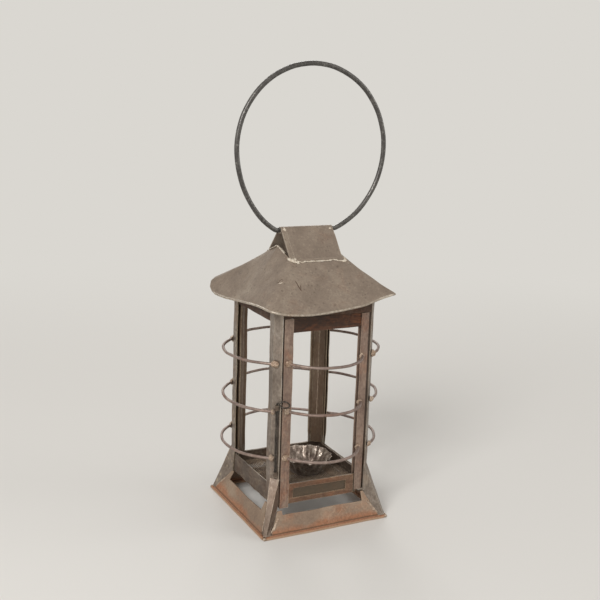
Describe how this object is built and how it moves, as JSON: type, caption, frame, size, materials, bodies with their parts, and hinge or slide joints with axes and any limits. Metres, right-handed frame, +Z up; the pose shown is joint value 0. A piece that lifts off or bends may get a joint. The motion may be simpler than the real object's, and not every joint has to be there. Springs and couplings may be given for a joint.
{
  "type": "candle lantern",
  "caption": "Square folded tinplate lantern with curved wire guards, a hinged door with a turn latch, an open smoke cap and a big ring handle.",
  "frame": {"origin": "middle of the square base, on the surface it stands on", "axes": "+Z up, -Y towards the door's side, +X towards the door's hinge"},
  "size_m": [0.1554, 0.1506, 0.4148],
  "materials": {
    "aged_tinplate": "aged, mottled, satin",
    "rusted_tinplate": "lightly rusted, satin",
    "solder": "dull solder",
    "bright_tin": "bright, stained",
    "iron_wire": "browned wire"
  },
  "bodies": {
    "lantern": {"smoke_cap": "aged_tinplate", "roof_hood": "aged_tinplate", "post_front_left": "aged_tinplate", "post_front_right": "aged_tinplate", "post_rear_left": "aged_tinplate", "post_rear_right": "aged_tinplate", "rail_left": "aged_tinplate", "rail_right": "aged_tinplate", "rail_rear": "aged_tinplate", "header_left": "aged_tinplate", "header_right": "aged_tinplate", "header_rear": "aged_tinplate", "header_front": "aged_tinplate", "hinge_ear": "aged_tinplate", "skirt_front": "rusted_tinplate", "skirt_left": "rusted_tinplate", "skirt_right": "rusted_tinplate", "skirt_rear": "rusted_tinplate", "hem_corners": "solder", "dish_solder": "solder", "guard_left_solder": "solder", "guard_right_solder": "solder", "guard_rear_solder": "solder", "candle_dish": "bright_tin", "floor_grid": "iron_wire", "hinge_pin": "iron_wire", "latch_keepers": "iron_wire", "guard_left_low": "iron_wire", "guard_left_mid": "iron_wire", "guard_left_top": "iron_wire", "guard_right_low": "iron_wire", "guard_right_mid": "iron_wire", "guard_right_top": "iron_wire", "guard_rear_low": "iron_wire", "guard_rear_mid": "iron_wire", "guard_rear_top": "iron_wire"},
    "door": {"door_latch_stile": "rusted_tinplate", "door_hinge_stile": "rusted_tinplate", "door_top_rail": "rusted_tinplate", "door_bottom_rail": "rusted_tinplate", "door_guard_solder": "solder", "door_guard_low": "iron_wire", "door_guard_mid": "iron_wire", "door_guard_top": "iron_wire"},
    "handle": {"ring_handle": "iron_wire"},
    "latch": {"latch_wire": "iron_wire"}
  },
  "joints": [
    {"name": "handle_swing", "type": "hinge", "parent": "lantern", "child": "handle", "pos_m": [0, 0, 0.26606], "axis": [1, 0, 0], "range_deg": [-110, 110]},
    {"name": "door_hinge", "type": "hinge", "parent": "lantern", "child": "door", "pos_m": [0.0405, -0.0479, 0.11], "axis": [0, 0, 1], "range_deg": [0, 90]},
    {"name": "latch_turn", "type": "hinge", "parent": "lantern", "child": "latch", "pos_m": [-0.04774, -0.04951, 0.09], "axis": [0, 0, 1], "range_deg": [-100, 0]}
  ]
}
